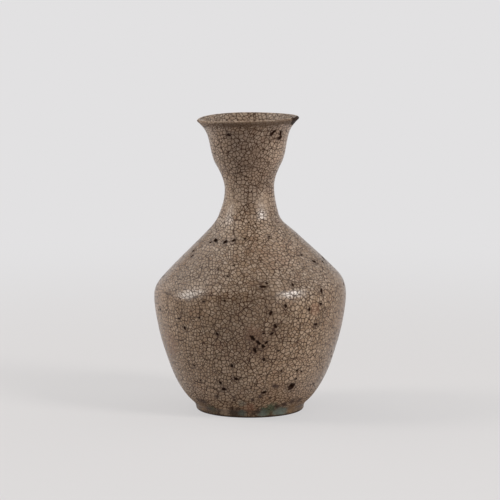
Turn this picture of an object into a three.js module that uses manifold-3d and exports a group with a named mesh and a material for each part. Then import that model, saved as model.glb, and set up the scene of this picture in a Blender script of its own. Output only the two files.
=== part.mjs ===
// A wheel-thrown stoneware bottle vase with a crackled glaze: a low foot ring, a wide belly with a
// soft angle at its shoulder, a narrow neck and a cup-shaped mouth with a flaring lip.
// It is built as a potter builds it, from thrown sections luted end to end on flat rims, with one old
// fill of lacquer in a chip of the lip.
// Millimetres, +Z up. The origin is the centre of the foot, on the surface that the vase stands on.
// The front faces -Y, and +X is to the right of someone who looks at the front.
import * as THREE from "three";
import { mergeVertices } from "three/addons/utils/BufferGeometryUtils.js";
import Module from "manifold-3d";

// Foot ring. Radii are outside radii unless a name says otherwise.
const FOOT_HEIGHT = 5.5;
const FOOT_RADIUS = 36.8;
const FOOT_TOP_RADIUS = 38.6;
const FOOT_WIDTH = 6.5; // of the ring, at the resting face
const FOOT_BATTER = 1.6; // how far the inner wall leans in towards the floor of the vase
const FOOT_CHAMFER = 0.9; // on both edges of the resting face

// Lower body, from the foot ring up to the widest point. A rise is a height above the section's base.
const LOWER_BODY_HEIGHT = 70.5;
const HEEL_RISE = 6.5;
const HEEL_RADIUS = 45.7;
const FLANK_RISE = 34.5;
const FLANK_RADIUS = 58.2;
const BELLY_RADIUS = 65.5;
const FLOOR_THICKNESS = 6.5;
const FLOOR_CORNER = 9; // radius of the inside corner between the floor and the wall

// Shoulder, from the belly up to the collar where the neck was luted on.
const SHOULDER_HEIGHT = 44.5;
const TURN_RISE = 16;
const TURN_RADIUS = 60.4;
const COLLAR_RADIUS = 31.4;

// Neck, with its narrowest point at the waist.
const NECK_HEIGHT = 44.5;
const NECK_FOOT_RISE = 13.5;
const NECK_FOOT_RADIUS = 19.7;
const WAIST_RISE = 31;
const WAIST_RADIUS = 16.8;
const CUP_JOIN_RADIUS = 20.4;

// Mouth: a small cup that opens into the flaring lip.
const MOUTH_HEIGHT = 34.6;
const CUP_RISE = 7;
const CUP_RADIUS = 23.5;
const FLARE_RISE = 25;
const FLARE_RADIUS = 28.1;
const LIP_RADIUS = 35.8; // where the outer and the top surface would meet, before the edge is rounded
const LIP_DROP = 1.5; // how far below the top the rounded edge starts on the outside
const LIP_EDGE_INSET = 0.4; // how far the rounding draws the edge in

// Wall thickness, square to the wall, at the ends of the sections.
const HEEL_WALL = 6;
const BELLY_WALL = 4.6;
const COLLAR_WALL = 4.4;
const CUP_JOIN_WALL = 3.6;
const LIP_WALL = 2.3;

// Slope of the outline at each of its stations: millimetres outwards for each millimetre up.
const SPRING_SLOPE = 1.15;
const HEEL_SLOPE = 0.72;
const FLANK_SLOPE = 0.3;
const TURN_SLOPE = -0.9;
const COLLAR_SLOPE = -1.04;
const NECK_FOOT_SLOPE = -0.33;
const CUP_JOIN_SLOPE = 0.46;
const CUP_SLOPE = 0.27;
const FLARE_SLOPE = 0.42;
const LIP_SLOPE = 1.05;

// How the soft clay settled. The rings above the belly tip up towards +X, the neck and the mouth lean
// back towards -X, and the cup stays fuller on its +X side.
const RING_TILT = 0.028; // rise for each millimetre towards +X
const MOUTH_LEAN = 1.3;
const CUP_SWELL = 0.9;
const CUP_SWELL_SPREAD = 8; // height over which the swelling fades out

// Chip in the lip, and the lacquer that fills it.
const CHIP_BEARING = -14; // degrees from +X, anticlockwise seen from above
const CHIP_WIDTH = 24;
const CHIP_DEPTH = 7.5; // below the top of the lip
const FILL_GAP = 0.3;

// Fineness of the turned surfaces.
const STEPS_AROUND = 60;
const STEP_UP = 5.6;
const CORNER_STEPS = 4;
const BITE_STEPS_AROUND = 24;
const BITE_STEPS_UP = 16;
const MERGE_DISTANCE = 1e-3; // points closer than this are one point

// Heights of the joints, from the bottom up.
const FOOT_JOINT = FOOT_HEIGHT;
const BELLY_JOINT = FOOT_JOINT + LOWER_BODY_HEIGHT;
const COLLAR_JOINT = BELLY_JOINT + SHOULDER_HEIGHT;
const CUP_JOINT = COLLAR_JOINT + NECK_HEIGHT;
const LIP_TOP = CUP_JOINT + MOUTH_HEIGHT;

// The stations that the outline passes through. Walls between two given thicknesses change evenly.
const OUTLINE = [
  { height: FOOT_JOINT, radius: FOOT_TOP_RADIUS, slope: SPRING_SLOPE, wall: HEEL_WALL },
  { height: FOOT_JOINT + HEEL_RISE, radius: HEEL_RADIUS, slope: HEEL_SLOPE },
  { height: FOOT_JOINT + FLANK_RISE, radius: FLANK_RADIUS, slope: FLANK_SLOPE },
  { height: BELLY_JOINT, radius: BELLY_RADIUS, slope: 0, wall: BELLY_WALL },
  { height: BELLY_JOINT + TURN_RISE, radius: TURN_RADIUS, slope: TURN_SLOPE },
  { height: COLLAR_JOINT, radius: COLLAR_RADIUS, slope: COLLAR_SLOPE, wall: COLLAR_WALL },
  { height: COLLAR_JOINT + NECK_FOOT_RISE, radius: NECK_FOOT_RADIUS, slope: NECK_FOOT_SLOPE },
  { height: COLLAR_JOINT + WAIST_RISE, radius: WAIST_RADIUS, slope: 0 },
  { height: CUP_JOINT, radius: CUP_JOIN_RADIUS, slope: CUP_JOIN_SLOPE, wall: CUP_JOIN_WALL },
  { height: CUP_JOINT + CUP_RISE, radius: CUP_RADIUS, slope: CUP_SLOPE },
  { height: CUP_JOINT + FLARE_RISE, radius: FLARE_RADIUS, slope: FLARE_SLOPE },
  { height: LIP_TOP, radius: LIP_RADIUS, slope: LIP_SLOPE, wall: LIP_WALL },
];

const clamp = THREE.MathUtils.clamp;
const point = (radius, height) => new THREE.Vector2(radius, height);

// The two neighbouring stations that a height lies between.
function spanAt(height, stations) {
  const above = stations.findIndex((s) => s.height > height);
  const upper = above < 0 ? stations.length - 1 : Math.max(above, 1);
  return [stations[upper - 1], stations[upper]];
}

// Outside radius and slope at a height, on the cubic curve that joins two stations.
function outlineAt(height) {
  const [low, high] = spanAt(height, OUTLINE);
  const rise = high.height - low.height;
  const t = clamp((height - low.height) / rise, 0, 1);
  const bend = high.radius - low.radius;
  const start = low.slope * rise;
  const end = high.slope * rise;
  const cubic = start + end - 2 * bend;
  const square = 3 * bend - 2 * start - end;
  return {
    radius: low.radius + start * t + square * t ** 2 + cubic * t ** 3,
    slope: (start + 2 * square * t + 3 * cubic * t ** 2) / rise,
  };
}

// Inside radius at a height: the wall's thickness is measured square to its slope.
function insideAt(height) {
  const [low, high] = spanAt(height, OUTLINE.filter((s) => s.wall));
  const t = clamp((height - low.height) / (high.height - low.height), 0, 1);
  const wall = low.wall + (high.wall - low.wall) * t;
  const { radius, slope } = outlineAt(height);
  return radius - wall * Math.hypot(1, slope);
}

// Heights from one level to another, evenly stepped, with both ends.
function levels(from, to) {
  const count = Math.max(2, Math.ceil(Math.abs(to - from) / STEP_UP));
  return Array.from({ length: count + 1 }, (_, i) => from + ((to - from) * i) / count);
}

const outerWall = (from, to) => levels(from, to).map((z) => point(outlineAt(z).radius, z));
const innerWall = (from, to) => levels(from, to).map((z) => point(insideAt(z), z));

// A quarter turn from one direction of travel to another, without its end points.
function corner(start, bend, end) {
  const curve = new THREE.QuadraticBezierCurve(start, bend, end);
  return curve.getPoints(CORNER_STEPS).slice(1, -1);
}

// Moves a point of the true turned form to where it settled in drying and firing.
function settle(p) {
  const tipping = THREE.MathUtils.smoothstep(p.z, BELLY_JOINT, BELLY_JOINT + TURN_RISE);
  const leaning = THREE.MathUtils.smoothstep(p.z, COLLAR_JOINT, LIP_TOP);
  const aboveCup = (p.z - CUP_JOINT - CUP_RISE) / CUP_SWELL_SPREAD;
  const across = Math.max(Math.cos(Math.atan2(p.y, p.x)), 0); // 1 towards +X, 0 from the sides round
  const swell = CUP_SWELL * Math.exp(-(aboveCup ** 2)) * across ** 2;
  const rise = p.x * RING_TILT * tipping;
  p.x += swell - MOUTH_LEAN * leaning;
  p.z += rise;
}

// A closed profile turned about Z and settled.
function turned(profile) {
  const geometry = new THREE.LatheGeometry([...profile, profile[0]], STEPS_AROUND);
  geometry.rotateX(Math.PI / 2);
  const positions = geometry.getAttribute("position");
  const p = new THREE.Vector3();
  for (let i = 0; i < positions.count; i++) {
    settle(p.fromBufferAttribute(positions, i));
    positions.setXYZ(i, p.x, p.y, p.z);
  }
  geometry.computeVertexNormals();
  return geometry;
}

function footRing() {
  const inner = FOOT_RADIUS - FOOT_WIDTH;
  return turned([
    point(FOOT_RADIUS - FOOT_CHAMFER, 0),
    point(FOOT_RADIUS, FOOT_CHAMFER),
    point(FOOT_TOP_RADIUS, FOOT_JOINT),
    point(inner - FOOT_BATTER, FOOT_JOINT),
    point(inner, FOOT_CHAMFER),
    point(inner + FOOT_CHAMFER, 0),
  ]);
}

function lowerBody() {
  const floor = FOOT_JOINT + FLOOR_THICKNESS;
  const cornerTop = floor + FLOOR_CORNER;
  const cornerRadius = insideAt(cornerTop);
  const floorEdge = point(cornerRadius - FLOOR_CORNER, floor);
  const cornerBend = point(insideAt(floor + FLOOR_CORNER / 2), floor);
  return turned([
    point(0, FOOT_JOINT),
    ...outerWall(FOOT_JOINT, BELLY_JOINT),
    ...innerWall(BELLY_JOINT, cornerTop),
    ...corner(point(cornerRadius, cornerTop), cornerBend, floorEdge),
    floorEdge,
    point(0, floor),
  ]);
}

// A section of plain wall between two joints.
function wallSection(from, to) {
  return turned([...outerWall(from, to), ...innerWall(to, from)]);
}

function mouthCup() {
  const edge = LIP_TOP - LIP_DROP;
  const outside = point(outlineAt(edge).radius, edge);
  const inside = point(insideAt(LIP_TOP), LIP_TOP);
  return turned([
    ...outerWall(CUP_JOINT, edge),
    ...corner(outside, point(LIP_RADIUS - LIP_EDGE_INSET, LIP_TOP), inside),
    ...innerWall(LIP_TOP, CUP_JOINT),
  ]);
}

// The rounded bite that a chip takes out of the lip, larger by a margin all round.
function chipBite(margin) {
  const bearing = THREE.MathUtils.degToRad(CHIP_BEARING);
  const bite = new THREE.SphereGeometry(1, BITE_STEPS_AROUND, BITE_STEPS_UP);
  bite.rotateX(Math.PI / 2);
  bite.scale(CHIP_DEPTH + margin, CHIP_WIDTH / 2 + margin, CHIP_DEPTH + margin);
  bite.rotateZ(bearing);
  bite.translate(LIP_RADIUS * Math.cos(bearing), LIP_RADIUS * Math.sin(bearing), LIP_TOP);
  return bite;
}

const wasm = await Module();
wasm.setup();

function solidOf(geometry) {
  const bare = geometry.clone();
  bare.deleteAttribute("normal");
  bare.deleteAttribute("uv");
  const merged = mergeVertices(bare, MERGE_DISTANCE);
  return new wasm.Manifold(
    new wasm.Mesh({
      numProp: 3,
      vertProperties: merged.getAttribute("position").array,
      triVerts: new Uint32Array(merged.index.array),
    }),
  );
}

function geometryOf(solid) {
  const mesh = solid.getMesh();
  const geometry = new THREE.BufferGeometry();
  geometry.setAttribute("position", new THREE.BufferAttribute(mesh.vertProperties, 3));
  geometry.setIndex(new THREE.BufferAttribute(mesh.triVerts, 1));
  geometry.computeVertexNormals();
  return geometry;
}

const glaze = new THREE.MeshStandardMaterial({ color: 0x8d7f6f, roughness: 0.32, metalness: 0 });
const footGlaze = new THREE.MeshStandardMaterial({ color: 0x6f6353, roughness: 0.55, metalness: 0 });
const lacquer = new THREE.MeshStandardMaterial({ color: 0x3c2d22, roughness: 0.4, metalness: 0 });

const vase = new THREE.Group();

function addPiece(name, geometry, material) {
  const mesh = new THREE.Mesh(geometry, material);
  mesh.name = name;
  vase.add(mesh);
}

const wholeMouth = solidOf(mouthCup());

addPiece("foot_ring", footRing(), footGlaze);
addPiece("lower_body", lowerBody(), glaze);
addPiece("shoulder", wallSection(BELLY_JOINT, COLLAR_JOINT), glaze);
addPiece("neck", wallSection(COLLAR_JOINT, CUP_JOINT), glaze);
addPiece("mouth_cup", geometryOf(wholeMouth.subtract(solidOf(chipBite(FILL_GAP)))), glaze);
addPiece("rim_fill", geometryOf(wholeMouth.intersect(solidOf(chipBite(0)))), lacquer);

export default vase;
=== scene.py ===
"""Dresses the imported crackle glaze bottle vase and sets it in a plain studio.

The clay sections are turned from one outline, pitted and settled, then glazed. Lengths are
millimetres until a piece is finished, when its mesh is scaled to metres. The front faces -Y.
"""

import math
import random
from collections import namedtuple

import bmesh
import bpy
from mathutils import Matrix, Vector, kdtree, noise


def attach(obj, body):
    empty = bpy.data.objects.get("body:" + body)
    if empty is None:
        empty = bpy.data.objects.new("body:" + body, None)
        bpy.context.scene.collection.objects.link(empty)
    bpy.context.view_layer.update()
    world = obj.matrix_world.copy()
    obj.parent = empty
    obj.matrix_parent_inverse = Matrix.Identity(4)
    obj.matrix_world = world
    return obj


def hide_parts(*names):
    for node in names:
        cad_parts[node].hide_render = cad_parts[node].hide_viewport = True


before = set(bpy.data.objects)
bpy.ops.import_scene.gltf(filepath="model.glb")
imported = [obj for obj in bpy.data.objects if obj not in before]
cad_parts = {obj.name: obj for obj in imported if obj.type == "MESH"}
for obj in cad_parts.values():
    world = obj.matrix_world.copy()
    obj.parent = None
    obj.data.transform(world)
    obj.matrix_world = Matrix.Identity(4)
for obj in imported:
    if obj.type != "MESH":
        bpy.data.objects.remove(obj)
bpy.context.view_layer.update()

bl_info = {
    "name": "Crackle Glaze Vase",
    "version": (1, 0, 0),
    "blender": (4, 5, 0),
    "location": "3D View > Sidebar > Vase",
    "description": "Builds the glazed pieces of a bottle vase and the studio around it",
    "category": "Add Mesh",
}

MM = 0.001

# Heights of the luting joints between the thrown sections.
FOOT_JOINT = 5.5
BELLY_JOINT = 76.0
COLLAR_JOINT = 120.5
CUP_JOINT = 165.0
LIP_TOP = 199.6

# Foot ring.
FOOT_RADIUS = 36.8
FOOT_TOP_RADIUS = 38.6
FOOT_WIDTH = 6.5
FOOT_BATTER = 1.6
FOOT_CHAMFER = 0.9
FOOT_COVE_DROP = 1.6  # the cove under the joint: its bend lies this far down,
FOOT_COVE_OUT = 0.2  # and this far outside the foot's edge
FOOT_ROUNDING = 0.35
ROUNDED_ANGLE = math.radians(20)
ROUNDING_STEPS = 3

# Floor inside the body.
FLOOR_HEIGHT = 12.0
FLOOR_CORNER = 9.0

# Lip: a rounded edge, whose crest stands above its widest point and inside it.
LIP_RADIUS = 35.8
LIP_DROP = 1.5
LIP_EDGE_INSET = 0.5
LIP_EDGE_DROP = 0.4
LIP_CREST = 0.5
LIP_CREST_INSET = 2.2
LIP_INSIDE_DROP = 0.6

# How the potter's hands left the wall: slow waves, and fine rings from the turning.
WAVE_DEPTH = 0.28
WAVE_HEIGHT = 26.0
WAVES_AROUND = 1.3
RING_DEPTH = 0.06
RING_HEIGHT = 2.4
RINGS_AROUND = 0.3

# How the soft clay settled.
TURN_TOP = 92.0
RING_TILT = 0.028
MOUTH_LEAN = 1.3
RIM_WARP_FROM = 197.0

# Chip in the lip, and the lacquer that fills it.
CHIP_BEARING = -14.0
CHIP_WIDTH = 24.0
CHIP_DEPTH = 7.5
CHIP_SEGMENTS = 64
CHIP_RINGS = 40
FILL_GAP = 0.3

# Fineness of the turned surfaces.
STEPS_AROUND = 320
OUTER_STEP = 1.2
INNER_STEP = 2.4
END_STEP = 0.06  # the first and last steps of a wall, in steps
CORNER_STEPS = 10
PIT_CUTS = 5
WELD = 1e-4
CHORD_SAG = 0.1  # more than a facet ever lies inside the true outline
SHARP_ANGLE = math.radians(38)

Station = namedtuple("Station", "height radius slope wall")

# The stations that the outline passes through: height, radius, millimetres outwards for each
# millimetre up, and the wall's thickness where it is given.
OUTLINE = (
    Station(FOOT_JOINT, FOOT_TOP_RADIUS, 1.15, 6.0),
    Station(12.0, 44.7, 0.72, None),
    Station(40.0, 57.75, 0.31, None),
    Station(BELLY_JOINT, 65.3, 0.05, 4.6),
    Station(TURN_TOP, 60.4, -0.9, None),
    Station(COLLAR_JOINT, 31.4, -1.04, 4.4),
    Station(134.0, 19.7, -0.33, None),
    Station(151.5, 16.8, 0.0, None),
    Station(CUP_JOINT, 20.4, 0.46, 3.6),
    Station(172.0, 23.5, 0.27, None),
    Station(190.0, 28.1, 0.42, None),
    Station(LIP_TOP, LIP_RADIUS, 1.05, 2.3),
)

Swell = namedtuple("Swell", "height spread bearing amount")

# Where one side of the wall bulges, or with a minus falls in. Bearings are degrees from the front.
SWELLS = (
    Swell(128.0, 4.5, 90, -0.8),
    Swell(132.5, 9.0, -90, 1.5),
    Swell(178.0, 9.0, 90, 0.25),
    Swell(177.0, 8.0, -90, 0.55),
)

Warp = namedtuple("Warp", "bearing rise")

# Where the mouth's rim rose, or with a minus sank.
RIM_WARPS = (
    Warp(-150, 0.75),
    Warp(-90, -0.65),
    Warp(90, -0.3),
    Warp(150, -0.2),
)

Pit = namedtuple("Pit", "bearing height length width turn")

# Pits in the front of the glaze. Bearings and turns are degrees, from the front towards +X and
# from level towards upright. Lengths and widths are millimetres.
PIT_ROWS = (
    # On the cup.
    (35, 191, 5.6, 2.2, 48),
    (50, 190, 3.8, 2, 110),
    (51, 187, 4, 2.6, 20),
    (-27, 190.5, 2.4, 1.8, -20),
    # In a level row at the foot of the neck.
    (-51, 118, 2.4, 1.4, 35),
    (-45, 119.5, 4.2, 2.5, -35),
    (-30, 119, 3.2, 2.5, 60),
    (-20, 120, 3.2, 1.9, 20),
    (-6, 121, 2.1, 1.4, 0),
    (25, 121.5, 1.6, 1, 0),
    # On the shoulder.
    (-63, 109, 2.4, 1.6, 50),
    (52, 108.5, 1.7, 1.4, 0),
    (61, 103.5, 3.6, 2, -20),
    (86, 103, 4.6, 2.8, 45),
    (-13, 105.5, 1.5, 1.2, 0),
    (-25, 103, 1.5, 1.2, 0),
    (-16, 99, 1.6, 1.3, 0),
    (8, 92.5, 4.6, 1.7, -5),
    (10.8, 94.4, 2.1, 1.4, -30),
    (28, 92.3, 3, 1.5, 90),
    (48, 86.5, 3, 1.8, 82),
    (-28, 83, 1.6, 1.2, 0),
    (-15, 84, 1.6, 1.1, 0),
    (21, 80, 2.4, 1.7, -70),
    (46, 79, 2.3, 1.6, 0),
    # On the flank.
    (37, 76.3, 2.3, 1.6, 90),
    (12, 76, 2.9, 1.8, 54),
    (-31, 71.5, 1.5, 1.2, 0),
    (-47, 69, 1.7, 1.3, 0),
    (43, 65.5, 3.2, 1.7, 0),
    (15, 66.8, 2.9, 1.9, -59),
    (-43, 63, 2.3, 1.8, -45),
    (-20, 61.3, 2.1, 1.7, -45),
    (8, 62, 1.6, 1.2, 0),
    (13, 61.8, 2.5, 1.7, 46),
    (1.5, 59, 4.4, 2.3, -45),
    (5, 55.8, 4.2, 2, -50),
    (10, 55.8, 2.5, 1.7, 43),
    (8, 53.2, 2.6, 2.3, -51),
    (3, 50.3, 3.8, 2.1, -66),
    (18, 49.5, 1.4, 1.2, 0),
    (9, 43.8, 2.3, 1.5, 76),
    # On the heel.
    (-41, 37, 1.7, 1.3, 0),
    (-12, 39.2, 2, 1.7, 45),
    (34, 34.5, 1.5, 1.3, 0),
    (22, 35, 1.8, 1.1, 40),
    (38, 33, 1.4, 1.2, 0),
    (-10, 30, 2.5, 2.2, -45),
    (35, 28, 1.6, 1.4, 0),
    (-39, 26.5, 1.6, 1.2, 0),
    (-22, 26.5, 2.3, 2, -45),
    (32.5, 23, 5, 4, 40),
    (-20, 22, 3, 2.1, -3),
    (11, 19.9, 3, 2.4, 20),
)
FRONT_PITS = [Pit(*row) for row in PIT_ROWS]

# Smaller pits scattered round the sides and the back, which the photograph doesn't show.
STRAY_SEED = 11
STRAY_FROM = 68
STRAY_TO = 292
STRAY_LENGTH = (1.3, 2.9)
STRAY_SPANS = (  # from a height, to a height, and how many
    (FOOT_JOINT, BELLY_JOINT, 26),
    (BELLY_JOINT, COLLAR_JOINT, 16),
    (COLLAR_JOINT, CUP_JOINT, 3),
    (CUP_JOINT, LIP_TOP, 3),
)

# Form of one pit: a steep bowl with a low swollen edge.
PIT_DEPTH_SHARE = 0.42
PIT_EDGE_HEIGHT = 0.05
PIT_EDGE_AT = 1.2
PIT_EDGE_SPREAD = 0.18
PIT_REACH = 1.7
STAIN_REACH = 2.3
PIT_SKIN = 1.0  # how far from the outside of the wall a point may lie and still be pressed in
PIT_RAGGEDNESS = 0.4
PIT_RAGGED_SCALE = 0.9
PIT_BOWL = (0.35, 1.0)  # where the bowl stops being deepest, and where it ends
PIT_STAIN_FROM = 1.1
PIT_HOLE = (0.85, 1.3)  # where the dark hole starts to fade, and where it has faded

# Crackle: how irregular its cells are, and the gores that it is laid out in.
CELL_CHANCE = 0.92
FIELD_CELLS = 4.2  # width of the fields between long cracks, in cells
HAIR_CELLS = 0.57  # width of the cells between hair cracks, in cells
HAIR_WIDTH = 0.5  # width of a hair crack, in cracks
HAIR_STRENGTH = 0.4
HAIR_ASIDE = (0.137, 0.071, 0)  # metres, so that hair cracks don't run along the others
GORES = 8
GORE_ANGLE = math.tau / GORES
GORE_SWAY = 0.9  # in gores
GORE_SWAY_SIZE = 30 * MM
GORE_SPACING = 0.4  # metres between one gore's pattern and the next

# From this height up, the lip's band also holds painted shade under the lip's flare.
LIP_BAND = 194.5  # the height from which the glaze is thinner and browner, up to the lip

# How light and how cool the glaze is painted, by height: darkest and warmest at the foot and the
# heel. The heel's darkening is partly painted shade near the floor, the lighter shoulder partly
# painted light from above, the lighter neck partly a painted sheen, and the darker inside of the
# mouth painted shade.
HEEL = (5.0, 26.0)  # from where to where the heel's glaze changes into the belly's
NECK_RISE = 14.0  # the same for the neck's, above the collar
FOOT_LEVEL = (0.96, 0.92, 0.82)
HEEL_STAIN_AND_SHADE = (0.96, 0.92, 0.85)
BELLY_LEVEL = (0.98, 0.97, 0.93)
SHOULDER_TONE_AND_TOP_LIGHT = (0.98, 1.02, 1.06)
NECK_TONE_AND_SHEEN = (1.13, 1.17, 1.23)
INSIDE_PAINTED_SHADE = (0.86, 0.9, 0.94)

# Coloured patches: bearing in degrees from the front, height and reach in millimetres, the share
# of the colour in the middle, and the colour. The broad ones are even, and lie under the cracks.
# Their crack-coloured ones are painted shade over the front and its sides, which face away from
# the lamps, and their light ones painted light on the flanks of the belly, the heel and the cup;
# the ochre, warm and rust ones are the glaze's own colour.
BROAD_TINTS_LIGHT_AND_SHADE = (
    (2, 66, 40, 0.26, "crack"),
    (-4, 100, 36, 0.13, "crack"),
    (-42, 98, 28, 0.16, "crack"),
    (-42, 98, 30, 0.22, "ochre"),
    (42, 98, 24, 0.1, "crack"),
    (72, 92, 22, 0.22, "ochre"),
    (-80, 66, 46, 0.12, "warm"),
    (-68, 70, 30, 0.28, "light"),
    (80, 74, 46, 0.22, "ochre"),
    (42, 30, 22, 0.25, "light"),
    (-4, 180, 26, 0.4, "crack"),
    (8, 148, 18, 0.23, "crack"),
    (62, 136, 16, 0.25, "crack"),
    (42, 158, 12, 0.24, "crack"),
    (-62, 187, 18, 0.3, "light"),
    (60, 182, 18, 0.3, "light"),
)
# The smaller ones have torn edges, and lie over the cracks. The light ones on the neck are painted
# highlights, and the row of crack-coloured ones at 84 to 85 mm is painted shade under the turn's
# highlight; the rest are the glaze's own marks.
GLAZE_TINTS_LIGHT_AND_SHADE = (
    (-45, 142, 10, 0.36, "light"),
    (-55, 154, 12, 0.18, "light"),
    (33, 144, 8, 0.34, "light"),
    (-58, 84.5, 5, 0.4, "crack"),
    (-38, 84.2, 5.5, 0.3, "crack"),
    (-28, 84.5, 5.5, 0.25, "crack"),
    (-18, 84.5, 5.5, 0.25, "crack"),
    (-8, 85, 5.5, 0.3, "crack"),
    (1, 85, 5.5, 0.3, "crack"),
    (12, 85, 5, 0.2, "crack"),
    (76, 86, 14, 0.22, "ochre"),
    (80, 68, 18, 0.14, "rust"),
    (48, 72, 9, 0.25, "crack"),
    (42, 76, 6, 0.28, "rust"),
    (2, 62, 8, 0.22, "rust"),
    (-62, 50, 14, 0.18, "rust"),
    (-70, 24, 10, 0.36, "ochre"),
    (20, 20, 14, 0.18, "ochre"),
    (18.3, 24.2, 2.4, 1, "crack"),
    (20.8, 23.8, 2, 0.9, "crack"),
    (-27.7, 15.8, 2.3, 1, "crack"),
    (-12.8, 16, 1.8, 0.9, "crack"),
    (-13.2, 13.7, 1.8, 0.9, "crack"),
    (2.2, 14, 2, 1, "crack"),
    (7.9, 16.8, 2.1, 1, "crack"),
    (16.6, 15.5, 1.7, 0.9, "crack"),
    (51, 187.3, 2.3, 0.9, "pit"),
    (52, 190.3, 1.5, 0.6, "pit"),
    (-72, 80.5, 2.2, 0.6, "crack"),
)
# Those of the foot reach over its joint, on to the body. The crack-coloured ones near 50 degrees
# left of the front are painted shade in a notch under the heel's edge; the rest are the foot's own
# patches.
FOOT_TINTS_AND_SHADE = (
    (-57, 5.5, 6.5, 0.7, "ochre"),
    (-42, 5.5, 5, 0.4, "copper"),
    (-46, 8, 12, 0.25, "crack"),
    (-27, 4, 5, 0.4, "light"),
    (-15, 3, 5.5, 0.75, "clay"),
    (-7, 11, 4, 0.4, "teal"),
    (-8, 3.5, 4, 0.65, "teal"),
    (-1, 7.5, 6, 0.45, "rust"),
    (13, 3.5, 5.5, 0.75, "teal"),
    (20, 7, 7, 0.75, "copper"),
    (31, 3.5, 6, 0.8, "teal"),
    (38, 3, 5.5, 0.75, "teal"),
    (47, 5, 6, 0.7, "ochre"),
    (-53, 10.6, 3.4, 0.9, "crack"),
    (-46, 10, 3.4, 0.9, "crack"),
    (-47, 2.5, 3, 0.8, "crack"),
    (-18, 6.8, 2.8, 0.8, "crack"),
    (-12, 6.8, 2.8, 0.8, "crack"),
    (8, 4.5, 3, 0.85, "crack"),
    (26, 8.2, 3.4, 0.9, "crack"),
    (33, 9.4, 3.6, 0.9, "crack"),
    (40, 10.8, 3.8, 0.9, "crack"),
    (50, 10.2, 3.8, 0.85, "crack"),
)
TINT_CORE = 0.3  # the share of a patch's reach that has its full colour
TINT_TEAR = 1.4  # how ragged a torn edge is


def srgb(red, green, blue):
    """A linear colour from a screen colour of 0 to 255."""
    shares = [value / 255 for value in (red, green, blue)]
    return tuple(s / 12.92 if s <= 0.04045 else ((s + 0.055) / 1.055) ** 2.4 for s in shares)


def tone(name, description, default):
    """A setting that holds a colour."""
    return bpy.props.FloatVectorProperty(
        name=name, description=description, default=default, subtype="COLOR"
    )


def number(name, description, default, least=0.0, **kind):
    """A setting that holds a number, of a subtype or with a unit."""
    return bpy.props.FloatProperty(
        name=name, description=description, default=default, min=least, **kind
    )


def length(*settings):
    """A setting that holds a length."""
    return number(*settings, subtype="DISTANCE", unit="LENGTH")


def portion(*settings):
    """A setting from 0 to 1."""
    return number(*settings, max=1.0, subtype="FACTOR")


def power(*settings):
    """A setting that holds a lamp's power."""
    return number(*settings, unit="POWER")


class GlazeSettings(bpy.types.PropertyGroup):
    """Colours and sizes of the crackled glaze, the foot and the lacquer."""

    # The light glaze also colours the painted highlights and patches of painted light.
    light: tone("Light Glaze", "Colour of the lighter crackle cells", srgb(187, 164, 141))
    dark: tone("Dark Glaze", "Colour of the darker crackle cells", srgb(146, 118, 91))
    warm: tone("Warm Glaze", "Colour of the glaze in broad patches", srgb(166, 131, 102))
    rust: tone("Rust Tint", "Colour of the small reddish patches in the glaze", srgb(140, 98, 76))
    # The crackle stain also colours the patches of painted shade.
    crack: tone("Crackle Stain", "Colour of the stain in the crackle", srgb(54, 31, 14))
    pit: tone("Pit Stain", "Colour of the dirt and bare clay in the pits", srgb(38, 19, 6))
    copper: tone("Green Tint", "Colour of the green patches on the foot", srgb(70, 88, 66))
    teal: tone("Blue Tint", "Colour of the greyish blue patches on the foot", srgb(96, 108, 100))
    # The lip's colour is partly thin brown glaze and partly painted shade under the lip's flare.
    lip: tone("Lip Stain", "Colour of the thin glaze under the lip", srgb(84, 64, 47))
    ochre: tone("Ochre Tint", "Colour of the ochre patches on the foot", srgb(120, 92, 62))
    clay: tone("Bare Clay", "Colour of the stained bare clay at the foot's edge", srgb(56, 40, 27))
    lacquer: tone("Lacquer", "Colour of the fill in the chipped lip", srgb(38, 24, 15))
    cell: length("Crackle Cell", "Usual width of a crackle cell", 2.6 * MM, 0.5 * MM)
    line: length("Crackle Line", "Usual width of a crackle line", 0.52 * MM, 0.05 * MM)
    roughness: portion("Roughness", "Roughness of the glaze between its cracks", 0.22)


class StudioSettings(bpy.types.PropertyGroup):
    """Colours, lights and camera of the studio."""

    floor: tone("Floor", "Colour of the paper that the vase stands on", srgb(201, 197, 195))
    backdrop: tone("Backdrop", "Colour of the paper far from the vase", srgb(226, 225, 226))
    evenness: portion("Evenness", "Share of the near paper's look that takes no shadow", 0.65)
    warm: tone("Warm Light", "Colour of the left and overhead light", (1.0, 0.972, 0.935))
    cool: tone("Cool Light", "Colour of the light from the right", (1.0, 0.985, 0.97))
    key_power: power("Right Light", "Power of the soft light on the right", 40.0)
    side_power: power("Left Light", "Power of the soft light on the left", 27.0)
    top_power: power("Top Light", "Power of the soft light overhead", 5.5)
    back_left_power: power("Back Left Light", "Power of the wide light behind, left", 22.0)
    back_right_power: power("Back Right Light", "Power of the wide light behind, right", 13.5)
    ambient: number("Room Light", "Strength of the even light from all around", 0.14)
    focal_length: number(
        "Focal Length", "Millimetres, on a sensor 36 mm wide", 194.1, 1.0, unit="CAMERA"
    )
    camera_distance: length("Camera Distance", "How far in front the camera stands", 1.82, 0.1)
    camera_height: length("Camera Height", "How far above the floor the camera stands", 0.354)
    camera_pitch: bpy.props.FloatProperty(
        name="Camera Pitch",
        description="How far the camera looks down",
        default=math.radians(7.66),
        subtype="ANGLE",
        unit="ROTATION",
    )


def smoothstep(low, high, value):
    """Rises smoothly from 0 to 1 between two values."""
    t = min(max((value - low) / (high - low), 0.0), 1.0)
    return t * t * (3 - 2 * t)


def span_at(height, stations):
    """The two neighbouring stations that a height lies between."""
    for low, high in zip(stations, stations[1:]):
        if height < high.height:
            return low, high
    return stations[-2], stations[-1]


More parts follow.
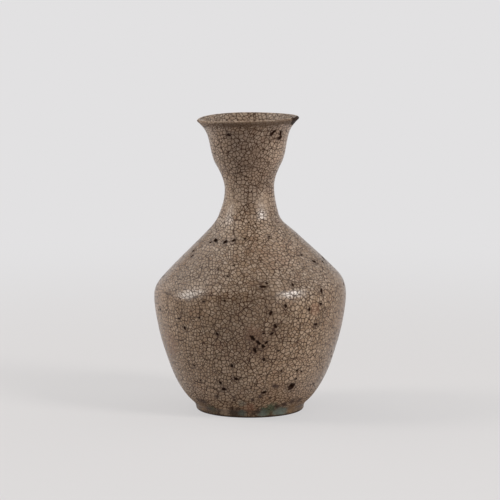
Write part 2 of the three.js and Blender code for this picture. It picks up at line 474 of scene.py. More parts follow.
def outline_at(height):
    """Outside radius and slope at a height, on the cubic curve that joins two stations."""
    low, high = span_at(height, OUTLINE)
    rise = high.height - low.height
    t = min(max((height - low.height) / rise, 0.0), 1.0)
    bend = high.radius - low.radius
    start = low.slope * rise
    end = high.slope * rise
    cubic = start + end - 2 * bend
    square = 3 * bend - 2 * start - end
    radius = low.radius + start * t + square * t**2 + cubic * t**3
    slope = (start + 2 * square * t + 3 * cubic * t**2) / rise
    return radius, slope


def inside_at(height):
    """Inside radius at a height: the wall's thickness is measured square to its slope."""
    low, high = span_at(height, [s for s in OUTLINE if s.wall])
    t = min(max((height - low.height) / (high.height - low.height), 0.0), 1.0)
    wall = low.wall + (high.wall - low.wall) * t
    radius, slope = outline_at(height)
    return radius - wall * math.hypot(1, slope)


def levels(start, end, step):
    """Heights from one level to another, evenly stepped, with both ends.

    The first and last steps are short, so that neighbouring sections shade as one surface.
    """
    count = max(2, math.ceil(abs(end - start) / step))
    whole = [start + (end - start) * i / count for i in range(count + 1)]
    nip = END_STEP * (end - start) / count
    return [start, start + nip, *whole[1:-1], end - nip, end]


def outer_wall(start, end):
    """Profile points up the outside of the wall."""
    return [(outline_at(z)[0], z) for z in levels(start, end, OUTER_STEP)]


def inner_wall(start, end):
    """Profile points down the inside of the wall."""
    return [(inside_at(z), z) for z in levels(start, end, INNER_STEP)]


def corner(start, bend, end):
    """Points on the curve that turns from start to end round a bend, without its ends."""
    points = []
    for i in range(1, CORNER_STEPS):
        t = i / CORNER_STEPS
        weights = ((1 - t) ** 2, 2 * t * (1 - t), t**2)
        pair = zip(weights, (start, bend, end))
        points.append(tuple(sum(c) for c in zip(*((w * r, w * z) for w, (r, z) in pair))))
    return points


def way_up(height):
    """Length of the outline from the foot joint up to a height."""
    points = outer_wall(FOOT_JOINT, height)
    return sum(math.dist(*pair) for pair in zip(points, points[1:]))


def spin(bm, geometry, steps):
    """Spins a profile right round Z."""
    about = {"cent": (0, 0, 0), "axis": (0, 0, 1), "dvec": (0, 0, 0), "angle": math.tau}
    bmesh.ops.spin(bm, geom=geometry, steps=steps, use_merge=True, **about)
    bmesh.ops.remove_doubles(bm, verts=bm.verts, dist=WELD)
    bmesh.ops.recalc_face_normals(bm, faces=bm.faces)


def turned(profile, low, closed=True):
    """A profile of (radius, height) points turned right round Z.

    Each point is marked with its way: how far along the outline it lies, in metres. The wall's
    outside starts at the height low, so that the way runs on from one section to the next.
    """
    bm = bmesh.new()
    mark = bm.verts.layers.float.new("way")
    verts = [bm.verts.new((radius, 0, height)) for radius, height in profile]
    way = way_up(low) - math.dist(profile[0], (outline_at(low)[0], low))
    for vert, before in zip(verts, (verts[0], *verts)):
        way += (vert.co - before.co).length
        vert[mark] = way * MM
    edges = [bm.edges.new(pair) for pair in zip(verts, verts[1:])]
    if closed:
        edges.append(bm.edges.new((verts[-1], verts[0])))
    spin(bm, verts + edges, STEPS_AROUND)
    return bm


def pit_frame(pit):
    """A pit's middle on the outside of the wall, with its long, short and outward directions."""
    bearing = math.radians(pit.bearing)
    radius, slope = outline_at(pit.height)
    middle = Vector((radius * math.sin(bearing), -radius * math.cos(bearing), pit.height))
    outward = Vector((math.sin(bearing), -math.cos(bearing), -slope)).normalized()
    level = Vector((math.cos(bearing), math.sin(bearing), 0))
    along = Matrix.Rotation(math.radians(pit.turn), 3, outward) @ level
    return middle, along, outward.cross(along), outward


def search_tree(points):
    """A tree that finds the nearest of the points."""
    tree = kdtree.KDTree(len(points))
    for i, point in enumerate(points):
        tree.insert(point, i)
    tree.balance()
    return tree


def divide_around(bm, pits):
    """Divides the faces around the pits finely, and puts the new points back on the outline."""
    edges = list(bm.edges)
    tree = search_tree([(edge.verts[0].co + edge.verts[1].co) / 2 for edge in edges])
    near = set()
    for pit in pits:
        reach = pit.length / 2 * PIT_REACH + OUTER_STEP
        near.update(i for _, i, _ in tree.find_range(pit_frame(pit)[0], reach))
    near = [edges[i] for i in sorted(near)]
    made = bmesh.ops.subdivide_edges(bm, edges=near, cuts=PIT_CUTS, use_grid_fill=True)
    for vert in (v for v in made["geom_inner"] if isinstance(v, bmesh.types.BMVert)):
        radius = outline_at(vert.co.z)[0]
        if abs(vert.co.xy.length - radius) < CHORD_SAG:
            vert.co.xy = vert.co.xy.normalized() * radius


def sink_pits(bm, pits):
    """Presses the pits into the wall, and marks how deep in a pit each point lies."""
    mark = bm.verts.layers.float.new("pit")
    verts = list(bm.verts)
    tree = search_tree([vert.co.copy() for vert in verts])
    for pit in pits:
        middle, along, across, outward = pit_frame(pit)
        for _, i, _ in tree.find_range(middle, pit.length / 2 * STAIN_REACH):
            vert = verts[i]
            offset = vert.co - middle
            if abs(offset.dot(outward)) > PIT_SKIN:
                continue
            place = Vector((offset.dot(along) / pit.length, offset.dot(across) / pit.width)) * 2
            ragged = 1 + PIT_RAGGEDNESS * noise.noise(vert.co * PIT_RAGGED_SCALE)
            share = place.length * ragged
            bowl = 1 - smoothstep(*PIT_BOWL, share)
            edge = math.exp(-(((share - PIT_EDGE_AT) / PIT_EDGE_SPREAD) ** 2))
            vert.co += outward * (PIT_EDGE_HEIGHT * edge - PIT_DEPTH_SHARE * pit.width * bowl)
            stain = 0.5 - 0.5 * smoothstep(PIT_STAIN_FROM, STAIN_REACH, share)
            hole = 1 - 0.5 * smoothstep(*PIT_HOLE, share)
            vert[mark] = max(vert[mark], stain, hole)


def hand_wobble(point):
    """How far the potter's hands left a point of the wall off the true circle."""
    across = Vector((point.x, point.y, 0)).normalized()
    waves = noise.noise(Vector((across.x, across.y, point.z / WAVE_HEIGHT)) * WAVES_AROUND)
    around = (across.x * RINGS_AROUND, across.y * RINGS_AROUND)
    rings = noise.noise(Vector((*around, point.z / RING_HEIGHT)))
    return WAVE_DEPTH * waves + RING_DEPTH * rings


def one_side(point, bearing):
    """1 on the side of a bearing from the front, falling to 0 at a quarter turn from it."""
    return max(math.cos(math.atan2(point.x, -point.y) - math.radians(bearing)), 0) ** 2


def swelling(point):
    """How far a point of the wall bulges outwards."""
    return sum(
        s.amount * math.exp(-(((point.z - s.height) / s.spread) ** 2)) * one_side(point, s.bearing)
        for s in SWELLS
    )


def settle(bm):
    """Moves the true turned form to where the hands and the fire left it."""
    for vert in bm.verts:
        p = vert.co
        if p.xy.length > FLOOR_CORNER:
            fade = smoothstep(0, FOOT_JOINT, p.z)
            p.xy += p.xy.normalized() * (hand_wobble(p) * fade + swelling(p))
        tipping = smoothstep(BELLY_JOINT, TURN_TOP, p.z)
        leaning = smoothstep(COLLAR_JOINT, LIP_TOP, p.z)
        warp = sum(w.rise * one_side(p, w.bearing) for w in RIM_WARPS)
        rise = p.x * RING_TILT * tipping + warp * smoothstep(RIM_WARP_FROM, LIP_TOP, p.z)
        p.x -= MOUTH_LEAN * leaning
        p.z += rise


def shade(mesh):
    """Shades a mesh smooth, with creases where its surfaces meet at a sharp angle."""
    mesh.shade_smooth()
    mesh.set_sharp_from_angle(angle=SHARP_ANGLE)


def piece_from(bm, name):
    """Puts a finished bmesh, in millimetres, into the scene as a piece in metres."""
    bmesh.ops.scale(bm, vec=(MM, MM, MM), verts=bm.verts)
    bmesh.ops.recalc_face_normals(bm, faces=bm.faces)
    mesh = bpy.data.meshes.new(name)
    bm.to_mesh(mesh)
    bm.free()
    shade(mesh)
    piece = bpy.data.objects.new(name, mesh)
    bpy.context.scene.collection.objects.link(piece)
    return piece


def dress(piece, node, slot):
    """Gives a piece the finish of its slot, and puts it in the place of its node."""
    piece.data.materials.clear()
    piece.data.materials.append(finish_named(slot))
    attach(piece, "root")
    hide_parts(node)


def stray_pits():
    """Seeded pits round the sides and the back."""
    chance = random.Random(STRAY_SEED)
    pits = []
    for low, high, count in STRAY_SPANS:
        for _ in range(count):
            length = chance.uniform(*STRAY_LENGTH)
            pits.append(
                Pit(
                    bearing=chance.uniform(STRAY_FROM, STRAY_TO),
                    height=chance.uniform(low + 2 * length, high - 2 * length),
                    length=length,
                    width=length * chance.uniform(0.6, 0.95),
                    turn=chance.uniform(0, 180),
                )
            )
    return pits


def pits_between(low, high):
    """The pits that touch the outside of the wall between two heights."""
    pits = [*FRONT_PITS, *stray_pits()]
    return [p for p in pits if low - 2 * p.length < p.height < high + 2 * p.length]


def section(node, low, high, profile, closed=True):
    """A pitted and settled clay section between two heights."""
    bm = turned(profile, low, closed)
    pits = pits_between(low, high)
    divide_around(bm, pits)
    sink_pits(bm, pits)
    settle(bm)
    return piece_from(bm, "glazed_" + node)


def plain_section(node, low, high):
    """A glazed section whose wall is cut level at both ends."""
    profile = [*outer_wall(low, high), *inner_wall(high, low)]
    dress(section(node, low, high, profile), node, "crackle_glaze")


def keep_way(whole, cut):
    """Gives each point of a cut mesh the way of the nearest point of the whole one."""
    tree = search_tree([vert.co for vert in whole.vertices])
    ways = whole.attributes["way"].data
    for vert, mark in zip(cut.vertices, cut.attributes["way"].data):
        mark.value = ways[tree.find(vert.co)[1]].value


def carve(piece, cutter, operation):
    """Cuts a piece with a closed cutter, and removes the cutter."""
    cut = piece.modifiers.new("chip", "BOOLEAN")
    cut.object = cutter
    cut.operation = operation
    cut.solver = "EXACT"
    ready = piece.evaluated_get(bpy.context.evaluated_depsgraph_get())
    mesh = bpy.data.meshes.new_from_object(ready)
    piece.modifiers.clear()
    whole = piece.data
    piece.data = mesh
    keep_way(whole, mesh)
    bpy.data.meshes.remove(whole)
    bpy.data.objects.remove(cutter)
    shade(piece.data)


def chip_bite(margin):
    """The rounded bite that a chip takes out of the lip, larger by a margin all round."""
    bearing = math.radians(CHIP_BEARING)
    size = (CHIP_DEPTH + margin, CHIP_WIDTH / 2 + margin, CHIP_DEPTH + margin)
    place = (LIP_RADIUS * math.cos(bearing), LIP_RADIUS * math.sin(bearing), LIP_TOP)
    bm = bmesh.new()
    bmesh.ops.create_uvsphere(bm, u_segments=CHIP_SEGMENTS, v_segments=CHIP_RINGS, radius=1)
    bmesh.ops.scale(bm, vec=size, verts=bm.verts)
    bmesh.ops.rotate(bm, cent=(0, 0, 0), matrix=Matrix.Rotation(bearing, 3, "Z"), verts=bm.verts)
    bmesh.ops.translate(bm, vec=place, verts=bm.verts)
    return piece_from(bm, "chip_bite")


def mouth_profile():
    """The closed outline of the mouth's wall, with its rounded lip."""
    low = LIP_TOP - LIP_DROP
    outside = (outline_at(low)[0], low)
    edge = (LIP_RADIUS - LIP_EDGE_INSET, LIP_TOP - LIP_EDGE_DROP)
    crest = (LIP_RADIUS - LIP_CREST_INSET, LIP_TOP + LIP_CREST)
    high = LIP_TOP - LIP_INSIDE_DROP
    inside = (inside_at(high), high)
    shelf = (inside[0] + LIP_EDGE_INSET, crest[1])
    rounding = [*corner(outside, edge, crest), crest, *corner(crest, shelf, inside)]
    return [*outer_wall(CUP_JOINT, low), *rounding, *inner_wall(high, CUP_JOINT)]


MIX_INPUTS = (0, 6, 7)  # share, first colour and second colour of Blender's mix node
MIX_OUTPUT = 2  # its mixed colour


class Finish:
    """A procedural material under construction, with short calls for the nodes that it uses."""

    def __init__(self, name):
        self.material = bpy.data.materials.new(name)
        self.material.use_nodes = True
        self.tree = self.material.node_tree
        self.surface = self.tree.nodes["Principled BSDF"]
        self.place = self.node("ShaderNodeTexCoord").outputs["Object"]

    def node(self, kind, inputs=(), **settings):
        """Adds a node. Inputs are (name or number, value or socket) pairs."""
        made = self.tree.nodes.new(kind)
        for name, value in settings.items():
            setattr(made, name, value)
        for key, value in inputs:
            if isinstance(value, bpy.types.NodeSocket):
                self.tree.links.new(value, made.inputs[key])
            else:
                made.inputs[key].default_value = value
        return made

    def math(self, operation, *values):
        """A number worked out from numbers."""
        made = self.node("ShaderNodeMath", enumerate(values), operation=operation)
        return made.outputs[0]

    def times(self, first, second):
        """The product of two numbers."""
        return self.math("MULTIPLY", first, second)

    def noise(self, place, size, detail=2.0, roughness=0.5):
        """Noise of a feature size in metres, as a node with Fac and Color."""
        names = ("Vector", "Scale", "Detail", "Roughness")
        inputs = zip(names, (place, 1 / size, detail, roughness))
        return self.node("ShaderNodeTexNoise", inputs)

    def cloud(self, *settings):
        """Noise over the piece, from 0 to 1."""
        return self.noise(self.place, *settings).outputs["Fac"]

    def ramp(self, value, low, high, to_low=0.0, to_high=1.0):
        """A smooth change of one range of numbers into another."""
        names = ("Value", "From Min", "From Max", "To Min", "To Max")
        inputs = zip(names, (value, low, high, to_low, to_high))
        made = self.node("ShaderNodeMapRange", inputs, interpolation_type="SMOOTHSTEP")
        return made.outputs["Result"]

    def mix(self, share, first, second, blend="MIX"):
        """A mix of two colours."""
        pair = [c if isinstance(c, bpy.types.NodeSocket) else (*c, 1) for c in (first, second)]
        inputs = zip(MIX_INPUTS, (share, *pair))
        made = self.node("ShaderNodeMix", inputs, data_type="RGBA", blend_type=blend)
        return made.outputs[MIX_OUTPUT]

    def sway(self, size, amount):
        """A small push that changes over a size, so that straight edges wander."""
        colour = self.noise(self.place, size).outputs["Color"]
        centred = self.vector("SUBTRACT", colour, (0.5, 0.5, 0.5)).outputs[0]
        return self.vector("MULTIPLY", centred, (amount, amount, amount)).outputs[0]

    def cells(self, place, size, feature="F1", dimensions="3D"):
        """A field of cells of a size in metres."""
        scale = self.math("DIVIDE", 1.0, size)
        inputs = (("Vector", place), ("Scale", scale), ("Randomness", CELL_CHANCE))
        settings = {"feature": feature, "voronoi_dimensions": dimensions}
        return self.node("ShaderNodeTexVoronoi", inputs, **settings)

    def edge(self, place, size):
        """Distance in metres, on a flat place, to the nearest edge between cells of a size."""
        cells = self.cells(place, size, "DISTANCE_TO_EDGE", "2D")
        return self.math("MULTIPLY", cells.outputs["Distance"], size)

    def vector(self, operation, *values):
        """A vector worked out from vectors."""
        return self.node("ShaderNodeVectorMath", enumerate(values), operation=operation)

    def line(self, distance, width):
        """1 within half a width of a line, and 0 away from it."""
        share = self.math("DIVIDE", distance, width)
        return self.ramp(share, 0.25, 0.75, 1, 0)

    def split(self, vector):
        """X, Y and Z of a vector."""
        return self.node("ShaderNodeSeparateXYZ", ((0, vector),)).outputs

    def joined(self, x, y):
        """A flat vector."""
        return self.node("ShaderNodeCombineXYZ", ((0, x), (1, y))).outputs[0]

    def height(self):
        """Height above the resting face."""
        return self.split(self.place)["Z"]

    def mark(self, name):
        """What the modelling marked a point with: its way, or its share of a pit."""
        return self.node("ShaderNodeAttribute", attribute_name=name).outputs["Fac"]

    def bump(self, value, depth, under=None):
        """A bumped normal of a depth in metres, over an earlier one."""
        inputs = [("Height", value), ("Distance", depth), ("Strength", 1.0)]
        if under:
            inputs.append(("Normal", under))
        return self.node("ShaderNodeBump", inputs).outputs["Normal"]

    def link(self, value, name):
        """Feeds a socket of the surface."""
        self.tree.links.new(value, self.surface.inputs[name])


def laid_flat(finish):
    """The glaze laid flat in upright gores, as a globe is, and the distance to a gore's edge.

    Across a gore, a place on it is the bearing times the distance from the axis, and up it, the
    way along the outline, so a flat pattern keeps its true size from the foot to the lip. The
    gores' edges wander, and become the longest cracks.
    """
    x, y, _ = finish.split(finish.place)
    bearing = finish.math("ARCTAN2", x, finish.times(y, -1.0))
    radius = finish.vector("LENGTH", finish.joined(x, y)).outputs["Value"]
    sway = finish.cloud(GORE_SWAY_SIZE)
    gores = finish.math("DIVIDE", bearing, GORE_ANGLE)
    gores = finish.math("ADD", gores, finish.times(sway, GORE_SWAY))
    gore = finish.math("ROUND", gores)
    middle = finish.times(gore, GORE_ANGLE)
    across = finish.times(finish.math("SUBTRACT", bearing, middle), radius)
    apart = finish.math("FLOORED_MODULO", gore, float(GORES))
    across = finish.math("ADD", across, finish.times(apart, GORE_SPACING))
    off = finish.math("ABSOLUTE", finish.math("SUBTRACT", gores, gore))
    off = finish.times(finish.math("SUBTRACT", 0.5, off), GORE_ANGLE)
    return finish.joined(across, finish.mark("way")), finish.times(off, radius)


def glaze_colour(finish, look):
    """The colour of the glaze between its cracks, and the cracks."""
    flat, gore_edge = laid_flat(finish)
    flat = finish.vector("ADD", flat, finish.sway(9 * MM, 1.6 * MM)).outputs[0]
    fields = finish.cells(flat, look.cell * FIELD_CELLS, "F1", "2D")
    long_edge = finish.edge(flat, look.cell * FIELD_CELLS)
    long_edge = finish.math("MINIMUM", long_edge, finish.times(gore_edge, 2.0))
    coarse = finish.noise(fields.outputs["Position"], 28 * MM).outputs["Fac"]
    size = finish.times(finish.ramp(coarse, 0.38, 0.62, 0.9, 1.06), look.cell)
    apart = finish.vector("MULTIPLY", fields.outputs["Color"], (GORE_SPACING / 2,) * 3).outputs[0]
    flat = finish.vector("ADD", flat, apart).outputs[0]
    flat = finish.vector("ADD", flat, finish.sway(3 * MM, 0.5 * MM)).outputs[0]
    cells = finish.cells(flat, size, "F1", "2D")
    edge = finish.math("MINIMUM", finish.edge(flat, size), long_edge)
    lines = crack_lines(finish, look, flat, size, cells, edge)
    tone, hue, _ = finish.node("ShaderNodeSeparateColor", ((0, cells.outputs["Color"]),)).outputs
    drift = finish.cloud(34 * MM, 3)
    blotch = finish.cloud(11 * MM, 1)
    rust = finish.noise(finish.place, 7 * MM, 2).outputs["Color"]
    grain = finish.cloud(0.9 * MM, 2)
    red = finish.math("ADD", finish.split(rust)["X"], finish.times(hue, 0.1))
    colour = finish.mix(finish.ramp(tone, 0, 1, 0.35, 1), look.dark, look.light)
    colour = finish.mix(finish.ramp(drift, 0.45, 0.72, 0, 0.4), colour, look.warm)
    colour = finish.mix(finish.ramp(red, 0.58, 0.76, 0, 0.22), colour, look.rust)
    colour = finish.mix(finish.ramp(blotch, 0.3, 0.62, 0.05, 0), colour, look.crack)
    colour = finish.mix(finish.ramp(grain, 0.3, 0.7, 0.24, 0), colour, look.crack)
    colour = finish.mix(finish.ramp(edge, 0, 0.6 * MM, 0.35, 0), colour, look.crack)
    return colour, lines


def crack_lines(finish, look, flat, size, cells, edge):
    """The cracks, which widen where they meet, and the fainter hair cracks between them."""
    meeting = finish.ramp(cells.outputs["Distance"], 0.45, 0.8, 0.75, 1.5)
    strength = finish.cloud(9 * MM)
    lines = finish.line(edge, finish.times(meeting, look.line))
    lines = finish.times(lines, finish.ramp(strength, 0.3, 0.6, 0.82, 1))
    aside = finish.vector("ADD", flat, HAIR_ASIDE).outputs[0]
    hairs = finish.edge(aside, finish.times(size, HAIR_CELLS))
    hairs = finish.times(finish.line(hairs, look.line * HAIR_WIDTH), HAIR_STRENGTH)
    return finish.math("MAXIMUM", lines, hairs)


def tinted(finish, look, colour, tints, torn=TINT_TEAR):
    """The colour with patches of tints, painted light and painted shade over it. Torn is how
    ragged the patches' edges are.
    """
    rough = finish.math("SUBTRACT", finish.cloud(3 * MM, 3, 0.6), 0.5)
    for bearing, height, reach, most, name in tints:
        turn = math.radians(bearing)
        radius = outline_at(height)[0]
        point = (radius * math.sin(turn), -radius * math.cos(turn), height)
        away = finish.vector("DISTANCE", finish.place, [v * MM for v in point]).outputs["Value"]
        reach *= MM
        if torn:
            away = finish.math("MULTIPLY_ADD", rough, torn * reach, away)
        share = finish.ramp(away, reach * TINT_CORE, reach, most, 0)
        colour = finish.mix(share, colour, getattr(look, name))
    return colour


def pinholes(finish):
    """1 in the fine scattered pinholes of the glaze."""
    spots = finish.cells(finish.place, 5.2 * MM)
    chance = finish.node("ShaderNodeSeparateColor", ((0, spots.outputs["Color"]),)).outputs[1]
    chosen = finish.math("GREATER_THAN", chance, 0.55)
    round_spot = finish.ramp(spots.outputs["Distance"], 0.07, 0.13, 1, 0)
    return finish.times(round_spot, chosen)


def crest_way():
    """Length of the outline from the foot joint up to the lip's crest."""
    profile = mouth_profile()
    crest = profile.index(max(profile, key=lambda point: point[1]))
    steps = zip(profile, profile[1 : crest + 1])
    return way_up(CUP_JOINT) + sum(math.dist(*pair) for pair in steps)


def lip_marks(finish):
    """The outside of the lip, where the glaze ran thin and brown, with painted shade under the
    lip's flare, and the pale worn crest, which is partly a painted highlight.
    """
    way = finish.mark("way")
    low = way_up(LIP_BAND) * MM
    crest = crest_way() * MM
    rough = finish.cloud(4 * MM, 2)
    rough = finish.math("MULTIPLY_ADD", rough, 6 * MM, way)
    thin_glaze_and_shade = finish.ramp(rough, low + 3 * MM, low + 6 * MM)
    thin_glaze_and_shade = finish.times(thin_glaze_and_shade, finish.ramp(way, crest - 0.7 * MM, crest, 1, 0))
    off = finish.math("ABSOLUTE", finish.math("SUBTRACT", way, crest))
    # The crest's pale line is partly wear and partly a painted highlight.
    worn = finish.cloud(1.6 * MM)
    worn = finish.times(finish.ramp(worn, 0.4, 0.6), finish.line(off, 1.4 * MM))
    return thin_glaze_and_shade, worn


def crackle_glaze(look):
    """The semi-gloss crackled glaze of the body, the neck and the mouth."""
    finish = Finish("fired_crackle_glaze")
    colour, lines = glaze_colour(finish, look)
    height = finish.height()
    pits = finish.mark("pit")
    holes = finish.math("MAXIMUM", pinholes(finish), finish.ramp(pits, 0.5, 0.8))
    heel = finish.ramp(height, HEEL[0] * MM, HEEL[1] * MM, 1, 0)
    lip, crest = lip_marks(finish)
    crest_at = crest_way() * MM
    inside = finish.ramp(finish.mark("way"), crest_at, crest_at + 1 * MM)
    collar = COLLAR_JOINT * MM
    # Painted light and shade by height: a darker heel and inside of the mouth, a lighter shoulder
    # and neck.
    level = finish.mix(
        finish.ramp(height, BELLY_JOINT * MM, TURN_TOP * MM), BELLY_LEVEL, SHOULDER_TONE_AND_TOP_LIGHT
    )
    level = finish.mix(finish.ramp(height, collar, collar + NECK_RISE * MM), level, NECK_TONE_AND_SHEEN)
    level = finish.mix(heel, level, HEEL_STAIN_AND_SHADE)
    level = finish.mix(inside, level, INSIDE_PAINTED_SHADE)
    colour = finish.mix(1.0, colour, level, "MULTIPLY")
    # Broad patches of glaze colour, painted shade and painted light, under the cracks.
    colour = tinted(finish, look, colour, BROAD_TINTS_LIGHT_AND_SHADE, torn=0)
    colour = finish.mix(lines, colour, look.crack)
    # Smaller patches of glaze colour, painted highlights on the neck and painted shade under the
    # turn, over the cracks.
    colour = tinted(finish, look, colour, (*GLAZE_TINTS_LIGHT_AND_SHADE, *FOOT_TINTS_AND_SHADE))
    # Under the lip, thin brown glaze and painted shade.
    browner = finish.ramp(finish.split(finish.place)["X"], -30 * MM, -16 * MM, 0.3, 0.85)
    colour = finish.mix(finish.times(lip, browner), colour, look.lip)
    # A painted highlight along the crest, over its pale wear.
    colour = finish.mix(finish.times(crest, 0.6), colour, look.light)
    colour = finish.mix(finish.ramp(pits, 0, 0.5, 0, 0.3), colour, look.crack)
    colour = finish.mix(holes, colour, look.pit)
    finish.link(colour, "Base Color")
    dull = finish.math("MAXIMUM", finish.times(lines, 0.65), holes)
    rough = finish.ramp(dull, 0, 1, look.roughness, look.roughness + 0.3)
    neck = finish.ramp(height, collar, collar + 12 * MM, 0, 0.07)
    matt = finish.math("MAXIMUM", finish.times(lip, 0.25), finish.times(heel, 0.4))
    rough = finish.math("ADD", finish.math("ADD", rough, neck), matt)
    finish.link(rough, "Roughness")
    duller = finish.math("MAXIMUM", dull, finish.times(heel, 0.7))
    finish.link(finish.ramp(duller, 0, 1, 0.5, 0.1), "Specular IOR Level")
    swell = finish.cloud(4 * MM, 3)
    normal = finish.bump(swell, 0.12 * MM)
    sunk = finish.times(finish.math("MAXIMUM", lines, holes), -1.0)
    finish.link(finish.bump(sunk, 0.02 * MM, normal), "Normal")
    return finish.material


def foot_glaze(look):
    """The thin, stained glaze of the foot, which runs out to bare clay at the bottom edge."""
    finish = Finish("fired_foot_glaze")
    colour, lines = glaze_colour(finish, look)
    colour = finish.mix(1.0, colour, FOOT_LEVEL, "MULTIPLY")
    colour = finish.mix(lines, colour, look.crack)
    stain = finish.cloud(6 * MM, 4, 0.6)
    colour = finish.mix(finish.ramp(stain, 0.35, 0.65, 0.3, 0.8), colour, look.clay)
    # The foot's own patches, with painted shade in the notch under the heel's edge.
    colour = tinted(finish, look, colour, FOOT_TINTS_AND_SHADE)
    ragged = finish.math("ADD", finish.height(), finish.times(stain, -1.6 * MM))
    bare = finish.ramp(ragged, -0.2 * MM, 1.0 * MM, 1, 0)
    colour = finish.mix(bare, colour, look.clay)
    finish.link(colour, "Base Color")
    finish.link(finish.ramp(bare, 0, 1, look.roughness + 0.25, 0.85), "Roughness")
    finish.surface.inputs["Specular IOR Level"].default_value = 0.25
    normal = finish.bump(stain, 0.25 * MM)
    sunk = finish.times(lines, -1.0)
    finish.link(finish.bump(sunk, 0.04 * MM, normal), "Normal")
    return finish.material


def lacquer(look):
    """Old dark lacquer, with a worn, uneven sheen."""
    finish = Finish("fired_lacquer")
    wear = finish.cloud(2.2 * MM, 4, 0.6)
    colour = finish.mix(finish.ramp(wear, 0.35, 0.75, 0, 0.7), look.lacquer, look.crack)
    finish.link(colour, "Base Color")
    finish.link(finish.ramp(wear, 0.3, 0.7, 0.5, 0.7), "Roughness")
    finish.surface.inputs["Specular IOR Level"].default_value = 0.08
    finish.link(finish.bump(wear, 0.15 * MM), "Normal")
    return finish.material


FINISHES = {"crackle_glaze": crackle_glaze, "foot_glaze": foot_glaze, "lacquer": lacquer}


def finish_named(name):
    """The finish of a material slot, made the first time that a piece asks for it."""
    made = bpy.data.materials.get("fired_" + name)
    return made or FINISHES[name](bpy.context.scene.vase_glaze)


class MakeFootRing(bpy.types.Operator):
    """Turn the foot ring that the vase stands on"""

    bl_idname = "vase.make_foot_ring"
    bl_label = "Foot Ring"

    def execute(self, context):
        inner = FOOT_RADIUS - FOOT_WIDTH
        cove = corner(
            (FOOT_RADIUS, FOOT_CHAMFER),
            (FOOT_RADIUS + FOOT_COVE_OUT, FOOT_JOINT - FOOT_COVE_DROP),
            (FOOT_TOP_RADIUS, FOOT_JOINT),
        )
        profile = [
            (FOOT_RADIUS - FOOT_CHAMFER, 0),
            (FOOT_RADIUS, FOOT_CHAMFER),
            *cove,
            (FOOT_TOP_RADIUS, FOOT_JOINT),
            (inner - FOOT_BATTER, FOOT_JOINT),
            (inner, FOOT_CHAMFER),
            (inner + FOOT_CHAMFER, 0),
        ]
        bm = turned(profile, 0)
        edges = [e for e in bm.edges if self.is_rounded(e)]
        rounding = {"offset": FOOT_ROUNDING, "segments": ROUNDING_STEPS, "profile": 0.5}
        bmesh.ops.bevel(bm, geom=edges, affect="EDGES", material=-1, **rounding)
        settle(bm)
        piece = piece_from(bm, "glazed_foot_ring")
        dress(piece, "foot_ring", "foot_glaze")
        return {"FINISHED"}

    def is_rounded(self, edge):
        """Whether an edge is a level, sharp one at the bottom of the foot."""
        low, high = (vert.co.z for vert in edge.verts)
        level = abs(low - high) < WELD
        sharp = edge.calc_face_angle() > ROUNDED_ANGLE
        return level and sharp and low < FOOT_CHAMFER + WELD


class MakeLowerBody(bpy.types.Operator):
    """Turn the bowl of the body, from the foot to the widest point"""

    bl_idname = "vase.make_lower_body"
    bl_label = "Lower Body"

    def execute(self, context):
        corner_top = FLOOR_HEIGHT + FLOOR_CORNER
        corner_radius = inside_at(corner_top)
        floor_edge = (corner_radius - FLOOR_CORNER, FLOOR_HEIGHT)
        bend = (inside_at(FLOOR_HEIGHT + FLOOR_CORNER / 2), FLOOR_HEIGHT)
        profile = [
            (0, FOOT_JOINT),
            *outer_wall(FOOT_JOINT, BELLY_JOINT),
            *inner_wall(BELLY_JOINT, corner_top),
            *corner((corner_radius, corner_top), bend, floor_edge),
            floor_edge,
            (0, FLOOR_HEIGHT),
        ]
        piece = section("lower_body", FOOT_JOINT, BELLY_JOINT, profile, closed=False)
        dress(piece, "lower_body", "crackle_glaze")
        return {"FINISHED"}


class MakeShoulder(bpy.types.Operator):
    """Turn the shoulder, from the widest point to the collar"""

    bl_idname = "vase.make_shoulder"
    bl_label = "Shoulder"

    def execute(self, context):
        plain_section("shoulder", BELLY_JOINT, COLLAR_JOINT)
        return {"FINISHED"}


class MakeNeck(bpy.types.Operator):
    """Turn the neck, from the collar to the mouth"""

    bl_idname = "vase.make_neck"
    bl_label = "Neck"

    def execute(self, context):
        plain_section("neck", COLLAR_JOINT, CUP_JOINT)
        return {"FINISHED"}


class MakeMouthCup(bpy.types.Operator):
    """Turn the cup-shaped mouth with its flaring, chipped lip"""

    bl_idname = "vase.make_mouth_cup"
    bl_label = "Mouth Cup"

    def execute(self, context):
        piece = section("mouth_cup", CUP_JOINT, LIP_TOP, mouth_profile())
        carve(piece, chip_bite(FILL_GAP), "DIFFERENCE")
        dress(piece, "mouth_cup", "crackle_glaze")
        return {"FINISHED"}


class MakeRimFill(bpy.types.Operator):
    """Fill the chip in the lip with lacquer"""

    bl_idname = "vase.make_rim_fill"
    bl_label = "Rim Fill"

    def execute(self, context):
        bm = turned(mouth_profile(), CUP_JOINT)
        settle(bm)
        piece = piece_from(bm, "lacquer_rim_fill")
        carve(piece, chip_bite(0), "INTERSECT")
        dress(piece, "rim_fill", "lacquer")
        return {"FINISHED"}


# Studio, in metres.
FLOOR_RADIUS = 8.0
FLOOR_SIDES = 96
RIM_RADIUS = 4.0
RIM_STEPS = 12
SHADOW_RADIUS = 0.15  # how far from the vase the floor shows shadows in full
EVEN_RADIUS = 0.9  # how far from the vase the floor has become even
LAMP_DISTANCE = 2.4
LAMP_TARGET = (0, 0, 0.1)
SENSOR_WIDTH = 36  # millimetres

Lamp = namedtuple("Lamp", "name bearing elevation width height power colour")

